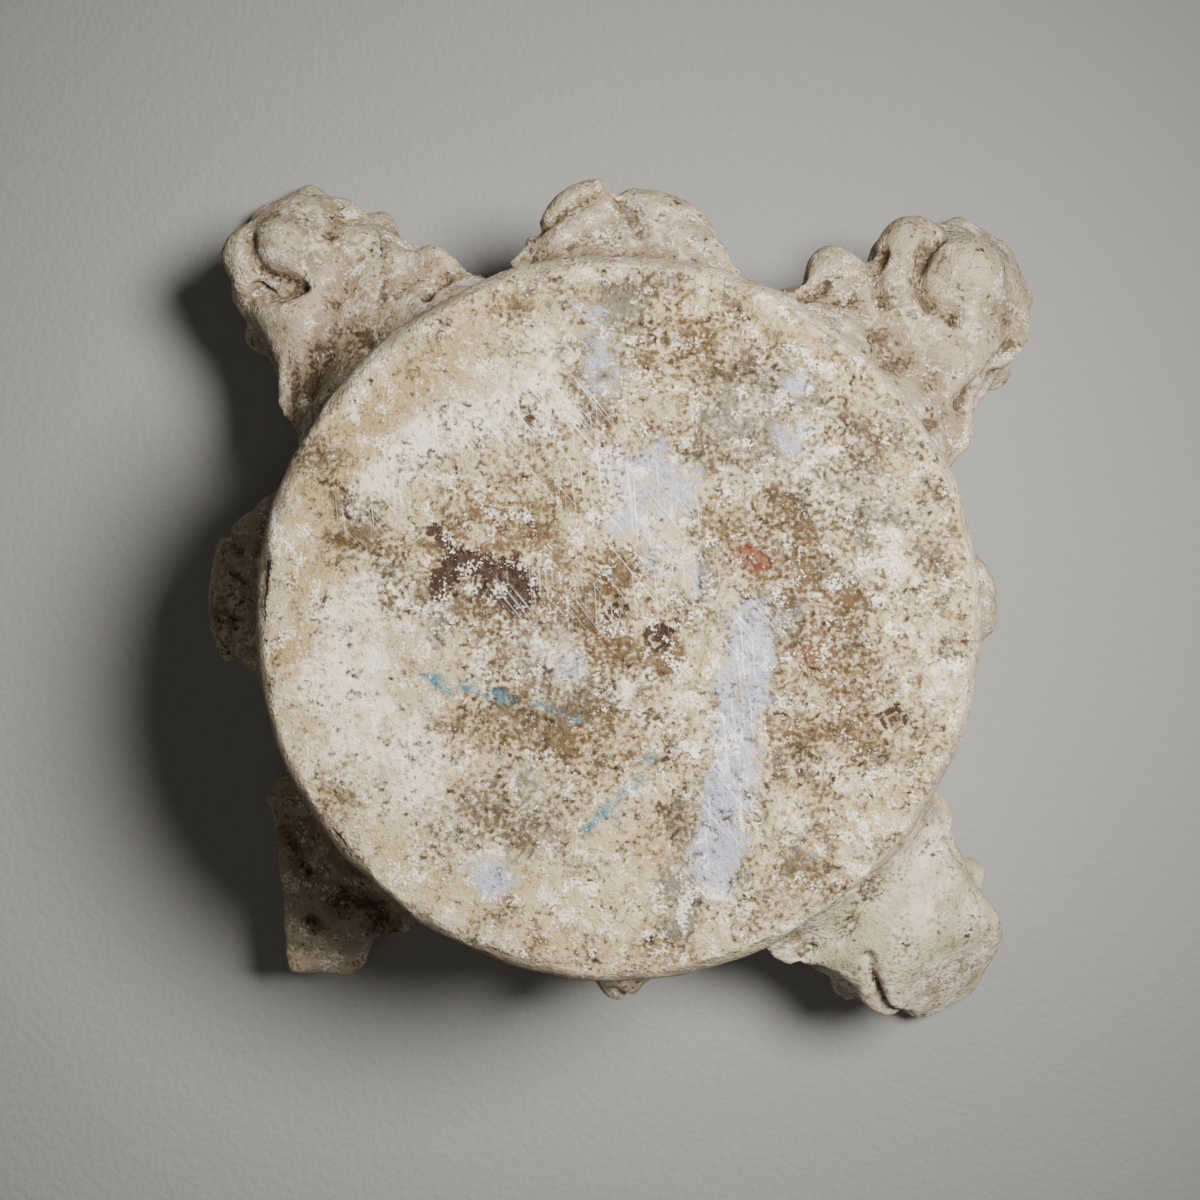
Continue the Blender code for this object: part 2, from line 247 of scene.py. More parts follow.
def corner(tip):
    """One diagonal arm along +X: its mass, the two volutes and the corner leaf."""
    bm = bmesh.new()
    reach = CORNER_LEAF_REACH
    half = CORNER_LEAF_HALF
    rings = []
    for share, top, width in ((0.40, 0.66, 1.0), (0.55, 0.50, 0.86), (0.68, 0.42, 0.70),
                              (0.80, 0.38, 0.58), (0.92, 0.35, 0.44), (0.97, 0.30, 0.30)):
        low = 0.5 * ABACUS_THICKNESS
        middle = (top * HEIGHT + low) / 2
        tall = (top * HEIGHT - low) / 2
        ring = []
        for k in range(40):
            across = math.cos(2 * math.pi * k / 40)
            upward = math.sin(2 * math.pi * k / 40)
            ring.append(Vector((share * reach,
                                math.copysign(abs(across) ** 0.6, across) * width * half,
                                middle + math.copysign(abs(upward) ** 0.6, upward) * tall)))
        rings.append(ring)
    loft(bm, rings)
    for side in (-1, 1):
        lump(bm, (0.845 * reach, side * 0.35 * half, 0.27 * HEIGHT),
             (VOLUTE_RADIUS, 0.32 * half, VOLUTE_RADIUS), -side * 0.34)
        lump(bm, (0.85 * reach, side * 0.66 * half, 0.27 * HEIGHT), (6, 5, 6))
        stem(bm, [(0.42 * reach, side * 0.76 * half, 0.60 * HEIGHT),
                  (0.55 * reach, side * 0.82 * half, 0.44 * HEIGHT),
                  (0.70 * reach, side * 0.70 * half, 0.365 * HEIGHT),
                  (0.83 * reach, side * 0.58 * half, 0.365 * HEIGHT)],
             [STEM_RADIUS, STEM_RADIUS, 0.8 * STEM_RADIUS, 0.6 * STEM_RADIUS])
    if tip != "lost":
        spine = [(NECK_RADIUS - 4, 0.86 * HEIGHT), (0.49 * reach, 0.72 * HEIGHT),
                 (0.56 * reach, 0.585 * HEIGHT), (0.68 * reach, 0.49 * HEIGHT),
                 (0.81 * reach, 0.435 * HEIGHT), (0.92 * reach, 0.405 * HEIGHT),
                 (0.975 * reach, 0.40 * HEIGHT)]
        widths = [0.62 * half, 0.86 * half, 1.0 * half, 0.92 * half, 0.70 * half,
                  0.60 * half, 0.40 * half]
        leaf(bm, spine, widths, LEAF_THICKNESS, 3, 4.8)
        lump(bm, (0.755 * reach, 0, 0.44 * HEIGHT), (0.62 * half, 0.66 * half, 12))
    for out, aside, high, *radii in CORNER_LUMPS[tip]:
        lump(bm, (out * reach, aside * reach, high * HEIGHT), radii, 0.3)
    return bm


def middle(reach, tip_width, aside, fold):
    """A middle leaf along +X, with the scrolls and the flower below it."""
    bm = bmesh.new()
    half = MIDDLE_LEAF_HALF
    spine = [(NECK_RADIUS - 4, 0.87 * HEIGHT), (NECK_RADIUS + 6, 0.74 * HEIGHT),
             (NECK_RADIUS + 14, 0.62 * HEIGHT), (0.86 * reach, 0.545 * HEIGHT),
             (0.94 * reach, 0.515 * HEIGHT), (reach - 3, 0.52 * HEIGHT)]
    widths = [0.72 * half, 0.92 * half, 1.0 * half, 0.88 * half, tip_width, 0.5 * tip_width]
    leaf(bm, spine, widths, LEAF_THICKNESS, 3, 4.4)
    lump(bm, (0.925 * reach, 0, 0.515 * HEIGHT), (0.075 * reach, tip_width, 10.5))
    lump(bm, (0.850 * reach, 0, 0.535 * HEIGHT), (0.080 * reach, 0.84 * half, 11))
    if fold:
        stem(bm, [(0.86 * reach, 0.62 * half, 0.555 * HEIGHT),
                  (0.94 * reach, 0.40 * half, 0.565 * HEIGHT),
                  (0.985 * reach, 0.10 * half, 0.55 * HEIGHT)], [6, 7, 5])
    bmesh.ops.translate(bm, verts=bm.verts, vec=(0, aside, 0))
    for side in (-1, 1):
        stem(bm, [(NECK_RADIUS - 2 * STEM_RADIUS, side * 40, 0.60 * HEIGHT),
                  (NECK_RADIUS + 12, side * 33, 0.43 * HEIGHT),
                  (BELL_LIP_RADIUS + 8, side * 22, 0.30 * HEIGHT),
                  (BELL_LIP_RADIUS + 10, side * 11, 0.25 * HEIGHT)],
             [STEM_RADIUS, STEM_RADIUS, 0.9 * STEM_RADIUS, 0.7 * STEM_RADIUS])
        lump(bm, (BELL_LIP_RADIUS + 8, side * 10, 0.235 * HEIGHT), (9, 10, 10))
    lump(bm, (ABACUS_MIDDLE, 0, 0.55 * ABACUS_THICKNESS),
         (FLEURON_RADIUS * 0.7, FLEURON_RADIUS, 0.45 * ABACUS_THICKNESS))
    return bm


def on_plan(reach, degrees, z):
    turn = math.radians(degrees)
    return (reach * math.cos(turn), reach * math.sin(turn), z)


def losses():
    """Blocks and lumps that take away, one by one, what the stone has lost."""
    beyond_neck = NECK_RADIUS + LEAF_THICKNESS + 1
    slabs = [
        # The tip of the lower right leaf is knocked off on a slope
        (on_plan(CORNER_LEAF_REACH + 20, -48, 0.53 * HEIGHT), (70, 90, 90), [("Z", -48), ("Y", -44)]),
        # The lower left arm has lost its corner down to the floor, and its leaf
        (on_plan(ABACUS_REACH - 6, -146.3, HEIGHT / 2), (80, 100, 2 * HEIGHT), [("Z", -171.2)]),
        (on_plan(beyond_neck + 55, -137, 0.58 * HEIGHT), (110, 120, 90), [("Z", -137), ("Y", 12)])]
    # The rim is bitten away in four places
    bites = [(10, 50, (11, 34, 12)), (11, -50, (14, 40, 13)), (8, 152, (9, 16, 10)),
             (9, -128, (11, 30, 11))]
    made = []
    for centre, size, turns in slabs:
        place = Matrix.Translation(centre)
        for axis, degrees in turns:
            place = place @ Matrix.Rotation(math.radians(degrees), 4, axis)
        bm = bmesh.new()
        bmesh.ops.create_cube(bm, size=1, matrix=place @ Matrix.Diagonal((*size, 1)))
        made.append(new_object("loss", bm))
    for beyond, degrees, radii in bites:
        bm = bmesh.new()
        lump(bm, on_plan(BED_RADIUS + beyond, degrees, HEIGHT - 0.30 * ASTRAGAL_HEIGHT), radii,
             math.radians(degrees))
        made.append(new_object("loss", bm))
    return made


def new_object(name, bm):
    mesh = bpy.data.meshes.new(name)
    bm.to_mesh(mesh)
    bm.free()
    item = bpy.data.objects.new(name, mesh)
    bpy.context.collection.objects.link(item)
    return item


def finished(item, kind, **settings):
    """Apply one modifier to a piece and give its new bmesh, without the old object."""
    made = item.modifiers.new(kind.title(), kind)
    for name, value in settings.items():
        setattr(made, name, value)
    bm = bmesh.new()
    bm.from_object(item, bpy.context.evaluated_depsgraph_get())
    bpy.data.objects.remove(item, do_unlink=True)
    return bm


def largest_body(bm):
    """Drop the pockets that the gathered skin seals inside itself."""
    left = set(bm.verts)
    bodies = []
    while left:
        body = []
        front = [left.pop()]
        while front:
            vert = front.pop()
            body.append(vert)
            near = [edge.other_vert(vert) for edge in vert.link_edges]
            fresh = [other for other in near if other in left]
            left.difference_update(fresh)
            front.extend(fresh)
        bodies.append(body)
    bodies.sort(key=len)
    for body in bodies[:-1]:
        bmesh.ops.delete(bm, geom=body, context="VERTS")
    return bm


def rough_stone():
    """Every carved form gathered into one skin, with the losses cut from it."""
    bm = bmesh.new()
    add_bell(bm)
    add_abacus(bm)
    for degrees, tip in ((135, "ball"), (45, "boss"), (-45, "broken"), (-135, "lost")):
        joined(bm, corner(tip), degrees)
    longest = NECK_RADIUS + MIDDLE_LEAF_STAND
    for degrees, lost, tip_width, aside, fold in ((90, 0, 24, 2, True), (180, 3, 21, 1, False),
                                                  (0, 11.5, 14, 7, False), (-90, 8, 8, 6, False)):
        joined(bm, middle(longest - lost, tip_width, aside, fold), degrees)
    bm = largest_body(finished(new_object("rough", bm), "REMESH", mode="VOXEL", voxel_size=GRAIN))
    for loss in losses():
        bm = finished(new_object("rough", bm), "BOOLEAN", operation="DIFFERENCE", object=loss,
                      solver="MANIFOLD")
        bpy.data.objects.remove(loss, do_unlink=True)
    return largest_body(finished(new_object("rough", bm), "REMESH", mode="VOXEL", voxel_size=GRAIN))


# What the carver and the years pressed into the arms and the middle leaves, seen from above:
# a path of (x, y), the height it lies at, its half width and its depth, negative for a ridge
PRESSED = [
    # Upper left leaf: the drooping ball with the groove and the mouth under it, and the neck
    ([(-112, 103), (-111, 97), (-106, 91), (-97, 90)], 82, 3.4, 3.2),
    ([(-109, 88), (-103, 86), (-95, 89)], 78, 2.8, 4.8), ([(-88, 106)], 77, 3.6, 2.0),
    ([(-86, 84)], 80, 1.6, 2.4), ([(-73, 108), (-71, 98), (-72, 86)], 78, 2.6, 1.8),
    ([(-59, 89), (-55, 94)], 86, 3.8, 4.2), ([(-82, 98), (-87, 77), (-95, 61)], 80, 10.0, 2.6),
    ([(-100, 68), (-100, 56)], 79, 2.8, -1.3), ([(-95, 71), (-94, 55)], 81, 2.8, -1.3),
    ([(-115, 88), (-108, 81), (-97, 81)], 75, 5.0, -2.0),
    ([(-60, 103), (-56, 98), (-57, 89)], 82, 4.5, -2.0),
    # Upper middle leaf: a folded strip, its crease, and a notch in the lip
    ([(-28, 107), (-20, 111), (-9, 117)], 99, 3.4, 3.2), ([(-25, 101), (-10, 111)], 98, 5.0, -1.8),
    ([(-7, 121), (-3, 116), (1, 108)], 98, 4.4, 2.8), ([(7, 113)], 97, 3.2, 1.6),
    ([(16, 106)], 98, 3.2, 1.4),
    # Upper right leaf: lobes, the drilled channel beside the boss and the hollow below it
    ([(50, 94), (56, 97)], 83, 3.2, 3.0), ([(72, 108), (70, 101), (72, 93)], 78, 3.4, 3.0),
    ([(88, 113), (84, 109), (82, 99), (86, 92)], 80, 3.2, 4.5), ([(87, 91), (94, 89)], 78, 3.8, 3.0),
    ([(94, 98), (97, 104)], 82, 13.0, -2.6),
    ([(93, 88)], 78, 2.4, 6.0), ([(113, 84), (106, 74), (97, 65)], 75, 3.2, 2.4),
    ([(82, 60), (88, 58)], 90, 4.4, 4.5), ([(72, 83), (87, 73)], 85, 10.0, 2.4),
    # Lower right leaf: the groove beside its broken face, a scratch, hollows under the rim
    ([(78, -98), (81, -107), (85, -115), (93, -118)], 77, 3.2, 4.2),
    ([(105, -82), (110, -88), (115, -96)], 76, 1.4, 1.0), ([(62, -97), (59, -100)], 80, 3.2, 3.6),
    ([(70, -93), (73, -88)], 82, 3.2, 3.2),
    # Lower left arm: what the break left of it
    ([(-88, -101)], 56, 5.0, 3.4), ([(-98, -73), (-91, -85)], 58, 3.4, 2.6),
    ([(-101, -63), (-92, -66)], 59, 3.2, -1.8), ([(-54, -99)], 61, 1.6, 2.0),
    ([(-79, -93), (-67, -99)], 58, 9.0, 2.8), ([(-92, -75)], 59, 8.0, 2.4),
    # Left, right and lower middle leaves
    ([(-113, 17), (-108, 12)], 97, 2.4, 1.8), ([(-114, -5), (-107, -9)], 97, 2.4, 1.8),
    ([(-111, 6), (-105, 2)], 98, 2.2, 1.4), ([(104, 8), (107, 1)], 95, 4.2, -1.5),
    ([(4, -109), (10, -112)], 95, 2.6, 1.8)]

# Marks on the bed, each a path of (x, y), its half width and its strength
BED_MARKS = {
    "rust": [([(-44.6, 5.3), (-41, 12), (-34, 10.8), (-25, 9), (-24.5, 3)], 3.4, 1.0),
             ([(-46.6, 20), (-41, 14)], 2.2, 0.8), ([(-33, 9), (-27, 5)], 5.0, 0.9),
             ([(-32.3, -43.3)], 1.2, 0.6), ([(70.1, -21.5)], 2.6, 2.2), ([(10.2, -4.0)], 3.0, 1.4),
             ([(-0.9, 2.5)], 3.0, 1.6)],
    "ochre": [([(-30.7, 26.4), (-12, 27.3)], 2.0, 0.8), ([(-27, 52.7)], 1.6, 0.6),
              ([(-37.8, 45.4)], 1.5, 0.6), ([(-33.7, 38.2)], 2.2, 0.6), ([(-41, 34.1)], 2.4, 0.7),
              ([(-46.1, 37.6)], 1.4, 0.6), ([(-70.6, 16.5), (-60.5, 14.5)], 1.2, 0.9),
              ([(10.8, 68.1)], 8.0, 0.75), ([(-0.9, 2.5), (5, -3), (10.8, -7)], 6.5, 0.9),
              ([(29.4, 20), (34.6, 15.4), (44.7, 13.4), (57.4, 7.8)], 4.5, 0.85),
              ([(40.4, -0.5), (48.7, -6.3), (53, -15)], 5.0, 0.75), ([(24.5, -20)], 1.8, 0.7),
              ([(-52, 17), (-44, 24)], 3.0, 0.5), ([(33, 24), (24, 20)], 3.6, 0.6),
              ([(-38, 14), (-18, 18), (-4, 2)], 18.0, 0.72), ([(-24, -24), (14, -34)], 15.0, 0.55),
              ([(28, 22), (50, 8), (54, -22)], 15.0, 0.72), ([(-32, 42), (0, 46)], 12.0, 0.45),
              ([(10, 68)], 12.0, 0.75)],
    "red": [([(31, 18), (36, 16)], 2.4, 0.9), ([(46, 13)], 2.0, 0.5),
            ([(48.7, -6.3)], 2.6, 0.8), ([(41, -10)], 1.6, 0.5)],
    "bare": [([(34.1, 1.7), (30.7, -29.7), (27.2, -61.2)], 6.0, 1.0), ([(-28.7, -66.4)], 5.5, 0.9),
             ([(6.4, 32.7)], 12.0, 0.75), ([(-9.2, 71.6), (-7, 60)], 4.5, 0.6),
             ([(42.2, 61.7)], 4.0, 0.7),
             ([(40.5, 46.8)], 4.5, 0.6), ([(22, 12)], 7.0, 0.6), ([(-15, -10)], 8.0, 0.5),
             ([(10, 15)], 7.0, 0.5), ([(45, 5)], 4.0, 0.5)],
    "grey": [([(-22.7, -26.1), (-21.7, -46)], 3.6, 0.8), ([(-9.2, 71.6), (-10, 55)], 5.0, 0.5),
             ([(42, 60), (49, 40), (50, 28)], 8.0, 0.8), ([(30, 70), (45, 52)], 9.0, 0.45),
             ([(20, -41.5), (21.1, -64)], 2.4, 0.7),
             ([(-45.9, -19.7), (-28.3, -22.6), (19, -23.5)], 1.3, 0.7),
             ([(62, 30), (70, 5), (66, -30)], 13.0, 0.35), ([(40, -75)], 10.0, 0.4),
             ([(-27, -76.4)], 1.6, 0.8), ([(57, -52)], 10.0, 0.35),
             ([(34, 52), (55, 32), (46, 10)], 19.0, 0.80), ([(-14, -18), (-20, -52)], 11.0, 0.75),
             ([(20, -45), (18, -76)], 6.0, 0.85), ([(-2, 76), (-8, 55)], 9.0, 0.80),
             ([(-46, 4), (-10, -6)], 13.0, 0.65)],
    "chalk": [([(-64.3, 26.7), (-48.9, 42.4), (-31.8, 49.4), (-13.2, 52.1)], 5.5, 0.9),
              ([(-63, 0), (-66, -20), (-52, -40)], 12.0, 0.8), ([(-20, 60), (-30, 66)], 9.0, 0.6),
              ([(-7.7, 39.4), (13.4, 16.8)], 3.0, 0.7), ([(15, 36)], 9.0, 0.7),
              ([(-40, -55), (-25, -50)], 10.0, 0.5), ([(30, 45), (70, 20)], 9.0, 0.4),
              ([(2, -15), (-30, -12)], 9.0, 0.45), ([(45, -42), (30, -70)], 9.0, 0.4),
              ([(75, 12), (80, -10)], 6.0, 0.45)],
    "honey": [([(-82, -10), (-76, 30), (-57, 57), (-35, 74)], 11.0, 0.9),
              ([(0, 82), (30, 76)], 8.0, 0.5),
              ([(-60, -60), (-30, -80)], 9.0, 0.6), ([(70, -45), (50, -68)], 9.0, 0.5),
              ([(-20, -35), (10, -50)], 14.0, 0.4)],
    "blue": [([(-5.7, -52.8), (0.8, -46.2), (7.4, -39.6)], 1.7, 0.9), ([(7, -36), (16, -30)], 2.2, 0.6),
             ([(-11, -24), (-6, -26)], 1.5, 0.7), ([(-48.3, -18), (-40, -20.5)], 1.3, 0.7),
             ([(-48.4, -9.9)], 1.2, 0.7), ([(-48, -16), (-30, -20), (-10, -24)], 1.8, 0.75)],
    "scratched": [([(-64.3, 26.7), (-48.9, 42.4), (-31.8, 49.4), (-13.2, 52.1)], 7.0, 1.0),
                  ([(-12, 42), (14, 16)], 11.0, 0.9), ([(34, 0), (27, -60)], 6.5, 0.9),
                  ([(-20, 5), (20, 10)], 9.0, 0.5)]}

# Small holes in the bed: (x, y), radius, depth
BED_PITS = [((-0.9, 2.5), 3.0, 2.2), ((70.1, -21.5), 1.7, 2.6), ((81.3, -30), 0.9, 1.2),
            ((77.2, -36.7), 0.9, 1.2), ((10.2, -4), 1.6, 1.2), ((8.5, 69.5), 2.2, 1.3),
            ((13.5, 67), 1.8, 1.1), ((10, 64.5), 1.4, 1.0), ((24.5, -20), 1.0, 0.8),
            ((-32.3, -43.3), 0.9, 0.9), ((-38, 41), 1.2, 0.8), ((-22, 40), 0.9, 0.7)]


def noise_at(places, size, seed, octaves=3):
    """Smooth noise of about -1 to 1, with features of the given size in millimetres."""
    shift = Vector((13.7 * seed, 7.1 * seed, 3.3 * seed))
    return np.array([noise.fractal(Vector(place) / size + shift, 1.0, 2.0, octaves)
                     for place in places])


def step(values, low, high):
    """Smooth rise from 0 at low to 1 at high."""
    t = np.clip((values - low) / (high - low), 0, 1)
    return t * t * (3 - 2 * t)


def closeness(places, path, half_width):
    """1 on a path, 0 at its half width and beyond."""
    count = 4 * (len(path) - 1)
    size = len(path[0])
    fine = path if count == 0 else smooth_path([(*p, 0)[:3] for p in path], count)
    points = np.array([tuple(p)[:size] for p in fine])
    value = np.zeros(len(places))
    near = np.all((places > points.min(0) - half_width) & (places < points.max(0) + half_width), axis=1)
    if not near.any():
        return value
    some = places[near]
    best = np.full(len(some), np.inf)
    starts = points[:-1] if len(points) > 1 else points
    ends = points[1:] if len(points) > 1 else points
    for start, end in zip(starts, ends):
        along = end - start
        share = (some - start) @ along / max(along @ along, 1e-9)
        foot = start + np.clip(share, 0, 1)[:, None] * along
        best = np.minimum(best, np.linalg.norm(some - foot, axis=1))
    value[near] = np.clip(1 - best / half_width, 0, 1)
    return value


def read_verts(bm):
    bm.normal_update()
    places = np.array([vert.co[:] for vert in bm.verts])
    normals = np.array([vert.normal[:] for vert in bm.verts])
    return places, normals


def write_verts(bm, places):
    for vert, place in zip(bm.verts, places):
        vert.co = place


def bed_depth(flat):
    """How deep the rough bed lies under its highest points, at each (x, y)."""
    spots = np.column_stack([flat, np.zeros(len(flat))])
    wave = noise_at(spots, 38, 1, 2)
    mid = noise_at(spots, 9, 2, 4)
    fine = noise_at(spots, 2.4, 3, 3)
    crumbled = step(flat[:, 0] / 60 + 0.8 * wave, -0.7, 0.9)
    depth = 0.45 + 0.25 * wave + (0.16 + 0.24 * crumbled) * mid + (0.10 + 0.36 * crumbled) * fine
    depth += 0.35 * crumbled * step(noise_at(spots, 4.5, 4, 4), 0.05, 0.50)
    depth += 0.35 * step(marked(flat, "bare") + 0.4 * mid, 0.15, 0.65)
    depth += 0.45 * step(marked(flat, "rust") + 0.4 * mid, 0.15, 0.60)
    depth += 0.35 * marked(flat, "ochre") * (1 + 1.6 * fine)
    depth += 0.30 * step(marked(flat, "grey") + 0.4 * fine, 0.2, 0.8)
    for place, radius, deep in BED_PITS:
        depth += deep * step(closeness(flat, [place], 1.5 * radius), 0, 0.8)
    return np.clip(depth, 0.06, 5)


def marked(flat, name):
    """Strength of one kind of mark at each (x, y) of the bed."""
    value = np.zeros(len(flat))
    for path, half_width, strength in BED_MARKS[name]:
        near = np.minimum(1, 1.6 * closeness(flat, path, 1.5 * half_width))
        value = np.maximum(value, strength * near)
    return value


def weather(bm):
    """Wear the whole skin, then press the dents and give the bed its rough face."""
    for _ in range(8):
        bmesh.ops.smooth_vert(bm, verts=bm.verts, factor=0.5, use_axis_x=True, use_axis_y=True,
                              use_axis_z=True)
    places, normals = read_verts(bm)
    bed = (normals[:, 2] > 0.8) & (places[:, 2] > HEIGHT - 2.5)
    ground = places[:, 2] < 0.1
    for path, height, half_width, depth in PRESSED:
        pull = step(closeness(places[:, :2], path, half_width), 0, 1)
        pull = np.where(np.abs(places[:, 2] - height) < 18, depth * pull, 0)
        places -= normals * pull[:, None]
    broken = step(-places[:, 0] - places[:, 1], 150, 170)
    worn = (0.75 + 1.3 * broken) * noise_at(places, 17, 5, 2) + 0.16 * noise_at(places, 5, 6, 3)
    worn += 0.25 * step(noise_at(places, 5, 7, 3), 0.30, 0.7)
    worn = np.where(bed, 0, worn + 0.35)
    places -= normals * worn[:, None]
    rim = np.hypot(places[:, 0], places[:, 1])
    inner = bed & (rim < BED_RADIUS - 2.0)
    depth = bed_depth(places[inner, :2])
    shoulder = step(rim[inner], BED_RADIUS - RIM_WEAR - 3.5, BED_RADIUS - 1.5)
    level = np.minimum(HEIGHT - depth, places[inner, 2] + 0.2 - depth * (1 - shoulder))
    places[inner, 2] = np.where(places[inner, 2] > HEIGHT - 1.2, HEIGHT - depth - 1.2 * shoulder, level)
    low, high = (np.array(corner) / MM for corner in CAD_BOX)
    places = np.clip(places, low + 0.05, high - 0.05)
    places[ground, 2] = 0.02
    write_verts(bm, places)


def carved_capital():
    bm = rough_stone()
    bmesh.ops.bisect_plane(bm, geom=bm.verts[:] + bm.edges[:] + bm.faces[:], dist=0.001,
                           plane_co=(0, 0, 0.02), plane_no=(0, 0, -1), clear_outer=True)
    rim = [edge for edge in bm.edges if edge.is_boundary]
    bmesh.ops.edgeloop_fill(bm, edges=rim)
    top = [edge for edge in bm.edges if min(vert.co.z for vert in edge.verts) > HEIGHT - 1.0]
    bmesh.ops.subdivide_edges(bm, edges=top, cuts=1, use_grid_fill=True)
    weather(bm)
    bmesh.ops.scale(bm, vec=(MM, MM, MM), verts=bm.verts)
    bmesh.ops.triangulate(bm, faces=bm.faces)
    share = min(1, TRIANGLES / len(bm.faces))
    bm = finished(new_object("rough", bm), "DECIMATE", ratio=share)
    for face in bm.faces:
        face.smooth = True
    return new_object("weathered_capital", bm)


# Layers over the bed's cream skin, in order: attribute, colour, sizes in millimetres of the
# coarse and fine noise that break it up, where it begins, where it is full, how much it covers
LAYERS = [("arm", "#95866f", 18, 2.0, 0.20, 0.90, 1.0), ("honey", "#978152", 14, 2.0, 0.20, 1.00, 0.70),
          ("chalk", "#ece4d0", 9, 2.0, 0.25, 1.05, 0.90), ("grey", "#5f5b53", 9, 1.3, 0.25, 1.05, 0.85),
          ("worn", "#cfc2ab", 9, 2.0, 0.40, 0.95, 0.45), ("soil", "#4d4029", 10, 1.3, 0.32, 1.10, 0.90),
          ("bare", "#a3aabf", 6, 1.3, 0.35, 0.85, 0.92), ("ochre", "#564022", 8, 1.3, 0.28, 1.05, 0.90),
          ("rust", "#28150a", 4, 1.3, 0.18, 0.75, 0.96), ("red", "#652c18", 4, 0.8, 0.15, 0.85, 0.85),
          ("blue", "#2f7288", 3, 0.8, 0.45, 1.05, 0.75), ("grit", "#33281a", 4, 0.8, 0.72, 1.15, 0.88),
          ("crystal", "#f6f1e6", 4, 0.8, 0.66, 1.00, 0.75),
          ("algae", "#848c4c", 8, 2.0, 0.35, 1.00, 0.50),
          # The last layer is painted shade: a dark brown laid into the hollows, where shade falls.
          ("hollow_shade", "#43331f", 6, 1.3, 0.50, 1.10, 0.82)]
# How strongly the coarse noise works on the mesh and the fine one in the shader
COARSE = 0.55
FINE = 1.9


def crevices(mesh):
    """How deep each vertex lies in a hollow: small ones and wide ones."""
    count = len(mesh.vertices)
    places = np.empty(3 * count)
    mesh.vertices.foreach_get("co", places)
    places = places.reshape(-1, 3) / MM
    normals = np.empty(3 * count)
    mesh.vertices.foreach_get("normal", normals)
    normals = normals.reshape(-1, 3)
    edges = np.empty(2 * len(mesh.edges), dtype=int)
    mesh.edges.foreach_get("vertices", edges)
    first, second = edges.reshape(-1, 2).T
    ends = np.concatenate([first, second])
    others = np.concatenate([second, first])
    degree = np.maximum(np.bincount(ends, minlength=count), 1)
    smooth = places.copy()
    found = []
    for rounds in (6, 40):
        for _ in range(rounds):
            smooth = np.column_stack([np.bincount(ends, smooth[others, axis], count) / degree
                                      for axis in range(3)])
        found.append(np.einsum("ij,ij->i", smooth - places, normals))
    return places, normals, found


def stain(item):
    """Write where the stone is stained, scraped, dirty or given painted shade, as attributes of its
    mesh.
    """
    mesh = item.data
    places, normals, (small, wide) = crevices(mesh)
    flat = places[:, :2]
    bed = step(normals[:, 2], 0.75, 0.92) * step(places[:, 2], HEIGHT - 6, HEIGHT - 3)
    arm = 1 - bed
    drift = noise_at(places, 22, 8, 3)
    lower_right = arm * step(places[:, 0] - places[:, 1], 135, 165)
    layers = {name: marked(flat, name) * bed for name in BED_MARKS}
    layers["arm"] = arm
    layers["chalk"] = np.maximum(layers["chalk"], arm * (0.20 + 0.4 * drift) + 0.6 * lower_right)
    out = np.hypot(flat[:, 0], flat[:, 1])
    layers["honey"] = np.maximum(layers["honey"], bed * 0.55 * step(out, 55, BED_RADIUS))
    layers["soil"] = 0.42 + 0.40 * drift + 0.14 * bed * step(flat[:, 0], -70, 20) - 0.32 * arm
    layers["grit"] = 0.52 + 0.25 * drift - 0.32 * arm
    layers["crystal"] = 0.50 - 0.25 * drift
    layers["algae"] = 0.75 * lower_right * step(drift, -0.3, 0.4)
    # Painted shade: a dark brown in the small and wide hollows, where shade falls.
    layers["hollow_shade"] = np.clip(0.06 + 0.9 * small + 0.20 * wide, 0, 1)
    layers["worn"] = np.clip(0.30 - 1.6 * small - 0.16 * wide, 0, 1)
    for seed, (name, _, coarse_mm, *_) in enumerate(LAYERS):
        layers[name] = layers[name] + COARSE * noise_at(places, coarse_mm, 20 + seed, 3)
    for name, values in layers.items():
        made = mesh.attributes.new(name, "FLOAT", "POINT")
        made.data.foreach_set("value", values.astype(np.float32))


def linear(hex_colour):
    """An sRGB hex colour as the linear colour that a shader takes."""
    parts = [int(hex_colour[k:k + 2], 16) / 255 for k in (1, 3, 5)]
    return (*[p / 12.92 if p <= 0.04045 else ((p + 0.055) / 1.055) ** 2.4 for p in parts], 1)


def add(tree, kind, inputs=None, **settings):
    """Add a node; inputs names or numbers its sockets, each with a value or an output to link."""
    made = tree.nodes.new(kind)
    for name, value in settings.items():
        setattr(made, name, value)
    for key, value in (inputs or {}).items():
        if isinstance(value, bpy.types.NodeSocket):
            tree.links.new(value, made.inputs[key])
        else:
            made.inputs[key].default_value = value
    return made.outputs


